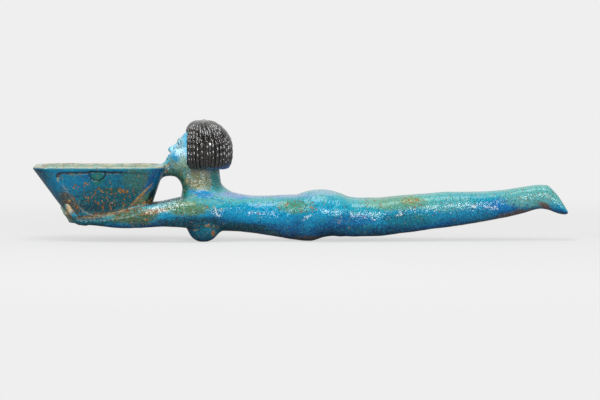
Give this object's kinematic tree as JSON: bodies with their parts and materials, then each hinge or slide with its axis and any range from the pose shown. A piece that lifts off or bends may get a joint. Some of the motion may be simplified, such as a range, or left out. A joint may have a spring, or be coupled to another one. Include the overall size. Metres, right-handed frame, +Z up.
{
  "type": "egyptian cosmetic spoon",
  "caption": "Glazed faience cosmetic spoon: a prone swimmer in a black bobbed wig holds out a deep dish with raked ends, chin on its rim and hands under its front.",
  "frame": {"origin": "on the table, under the middle of the whole length", "axes": "+X from the dish to the feet, +Y the swimmer's right side, +Z up from the table"},
  "size_m": [0.225, 0.034, 0.051],
  "materials": {
    "blue_glaze": "glossy copper-blue faience glaze, mottled turquoise and green, with brown pits and worn rim",
    "black_glaze": "glossy manganese black glaze"
  },
  "bodies": {
    "root": {"dish": "blue_glaze", "right_dish_lug": "blue_glaze", "left_dish_lug": "blue_glaze", "torso": "blue_glaze", "right_breast": "blue_glaze", "left_breast": "blue_glaze", "right_arm": "blue_glaze", "left_arm": "blue_glaze", "right_hand": "blue_glaze", "left_hand": "blue_glaze", "right_leg": "blue_glaze", "left_leg": "blue_glaze", "head": "blue_glaze", "chin_bridge": "blue_glaze", "wig": "black_glaze"}
  },
  "joints": []
}
